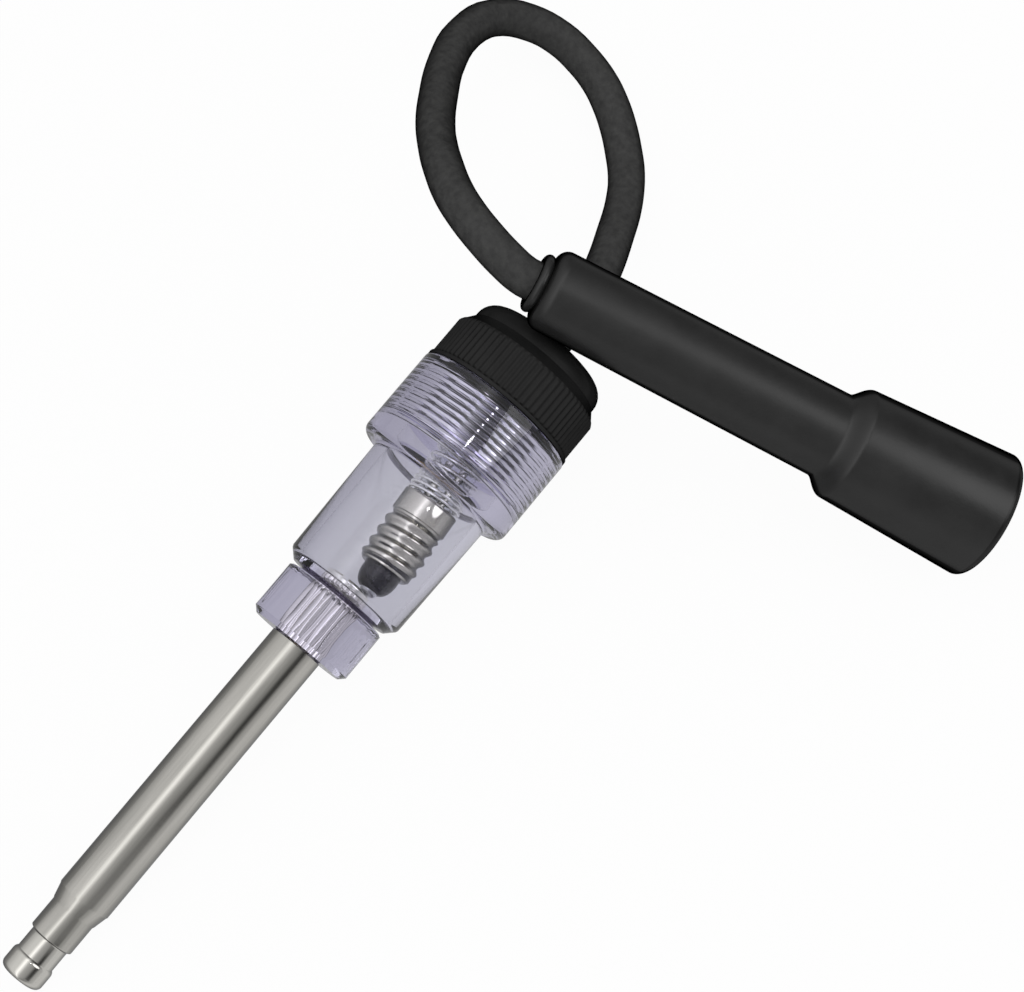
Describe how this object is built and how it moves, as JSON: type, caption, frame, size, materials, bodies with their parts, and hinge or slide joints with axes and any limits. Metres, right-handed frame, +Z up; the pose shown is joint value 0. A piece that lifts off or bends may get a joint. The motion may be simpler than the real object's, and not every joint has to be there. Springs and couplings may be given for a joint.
{
  "type": "in-line spark tester",
  "caption": "In-line spark plug tester: clear lamp chamber on a terminal rod, black screw cap, and a short looped lead to a rubber plug boot.",
  "frame": {"origin": "on the table under the middle of the tester's body, rod tip to cap top, lead and boot left out", "axes": "+X along the tester from the rod's tip to the cap, +Z up from the table, +Y to the side of the lead's loop"},
  "size_m": [0.1594, 0.1106, 0.0356],
  "materials": {
    "plated_steel": "turned and plated",
    "clear_plastic": "clear moulding with a faint violet tint",
    "black_plastic": "satin moulding",
    "black_rubber": "matt",
    "brass": "turned",
    "copper_core": "stranded",
    "lamp_metal": "plated",
    "lamp_black_glass": "opaque, glossy",
    "lamp_clear_glass": "clear",
    "lamp_cement": "matt",
    "spring_steel": "drawn"
  },
  "bodies": {
    "cap_and_lead": {"cap": "black_plastic", "spring_seat": "brass", "lead_ferrule": "brass", "lead_core_cap_end": "copper_core", "lead": "black_rubber", "lead_core_boot_end": "copper_core", "boot": "black_rubber", "boot_terminal": "brass", "terminal_clip": "spring_steel"},
    "lamp": {"lamp_contact": "lamp_metal", "lamp_insulator": "lamp_black_glass", "lamp_shell": "lamp_metal", "lamp_cement": "lamp_cement", "lamp_glass": "lamp_clear_glass", "lamp_stem": "lamp_clear_glass", "electrode_front": "lamp_metal", "electrode_back": "lamp_metal", "lamp_spring": "spring_steel"},
    "chamber": {"chamber": "clear_plastic", "terminal_rod": "plated_steel", "contact_screw": "plated_steel"}
  },
  "joints": [
    {"name": "lamp_travel", "type": "slide", "parent": "cap_and_lead", "child": "lamp", "axis": [-0.9943, 0, -0.1063], "range_m": [0, 0.006], "deforming": ["lamp_spring"]},
    {"name": "chamber_turn", "type": "hinge", "parent": "lamp", "child": "chamber", "pos_m": [0.00095, 0, 0.00911], "axis": [-0.9943, 0, -0.1063], "range_deg": [0, 2160]}
  ],
  "couplings": [
    {"joint": "chamber_turn", "follows": "lamp_travel", "rad_per_m": 6283.2}
  ]
}
